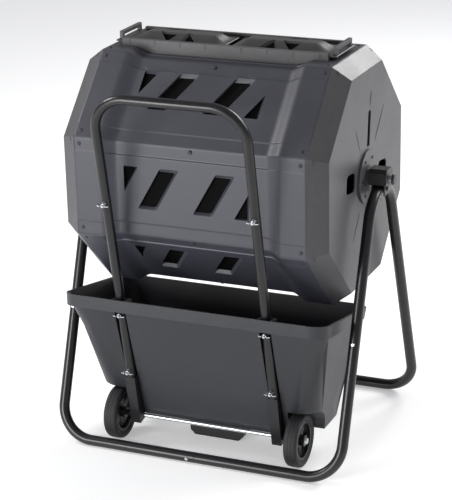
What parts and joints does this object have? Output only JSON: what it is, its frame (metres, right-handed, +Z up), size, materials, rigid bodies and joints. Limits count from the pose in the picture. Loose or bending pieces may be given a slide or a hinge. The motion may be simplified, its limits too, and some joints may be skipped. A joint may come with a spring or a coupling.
{
  "type": "compost tumbler",
  "caption": "Octagonal compost drum with sliding lids that spins on a bent-tube stand, above a wheeled collecting cart with a push handle.",
  "frame": {"origin": "on the floor, straight under the middle of the drum's axle", "axes": "+X along the drum's axle, +Z up, -Y towards the cart's push handle"},
  "size_m": [0.768, 0.6717, 0.9441],
  "materials": {
    "black_tube": "satin powder coat",
    "zinc_steel": "bright zinc plate",
    "dark_screw": "black oxide",
    "black_plastic": "moulded, satin",
    "drum_plastic": "moulded, fine grain",
    "cap_plastic": "moulded, fine grain",
    "door_plastic": "moulded, fine grain",
    "tub_plastic": "moulded, fine grain",
    "tyre": "matt rubber"
  },
  "bodies": {
    "stand": {"left_a_frame": "black_tube", "right_a_frame": "black_tube", "left_front_leg": "black_tube", "left_rear_leg": "black_tube", "right_front_leg": "black_tube", "right_rear_leg": "black_tube", "tube_spigots": "zinc_steel", "frame_screws": "zinc_steel", "left_axle_bracket": "black_plastic", "right_axle_bracket": "black_plastic", "bracket_bolts": "zinc_steel"},
    "drum": {"top_panel": "drum_plastic", "upper_front_panel": "drum_plastic", "front_panel": "drum_plastic", "lower_front_panel": "drum_plastic", "bottom_panel": "drum_plastic", "lower_rear_panel": "drum_plastic", "rear_panel": "drum_plastic", "upper_rear_panel": "drum_plastic", "left_end_cap": "cap_plastic", "right_end_cap": "cap_plastic", "left_hub_plate": "cap_plastic", "right_hub_plate": "cap_plastic", "divider": "drum_plastic", "drum_axle": "zinc_steel", "drum_axle_caps": "black_plastic", "panel_screws": "dark_screw", "hub_screws": "dark_screw", "front_door_rail": "drum_plastic", "rear_door_rail": "drum_plastic"},
    "door_left": {"left_door": "door_plastic", "left_door_grip": "door_plastic"},
    "door_right": {"right_door": "door_plastic", "right_door_grip": "door_plastic"},
    "axle_set": {"cart_axle": "zinc_steel", "axle_spacers": "black_plastic", "axle_caps": "zinc_steel"},
    "wheel_left": {"left_tyre": "tyre", "left_wheel_hub": "black_plastic"},
    "wheel_right": {"right_tyre": "tyre", "right_wheel_hub": "black_plastic"},
    "cart": {"cart_tub": "tub_plastic", "cart_foot": "black_plastic", "handle_loop": "black_tube", "left_handle_leg": "black_tube", "right_handle_leg": "black_tube", "handle_spigots": "zinc_steel", "wing_bolts": "zinc_steel", "left_axle_arm": "black_tube", "right_axle_arm": "black_tube"}
  },
  "joints": [
    {"name": "drum_spin", "type": "hinge", "parent": "stand", "child": "drum", "pos_m": [0, 0, 0.64056], "axis": [1, 0, 0], "continuous": true},
    {"name": "left_door_slide", "type": "slide", "parent": "drum", "child": "door_left", "axis": [-1, 0, 0], "range_m": [0, 0.2]},
    {"name": "right_door_slide", "type": "slide", "parent": "drum", "child": "door_right", "axis": [1, 0, 0], "range_m": [0, 0.2]},
    {"name": "cart_roll", "type": "slide", "parent": "stand", "child": "axle_set", "axis": [0, -1, 0], "range_m": [0, 0.012]},
    {"name": "left_wheel_spin", "type": "hinge", "parent": "axle_set", "child": "wheel_left", "pos_m": [-0.226, -0.20237, 0.063], "axis": [1, 0, 0], "continuous": true},
    {"name": "right_wheel_spin", "type": "hinge", "parent": "axle_set", "child": "wheel_right", "pos_m": [0.226, -0.20237, 0.063], "axis": [1, 0, 0], "continuous": true},
    {"name": "cart_tilt", "type": "hinge", "parent": "axle_set", "child": "cart", "pos_m": [0, -0.20237, 0.063], "axis": [1, 0, 0], "range_deg": [0, 3]}
  ]
}
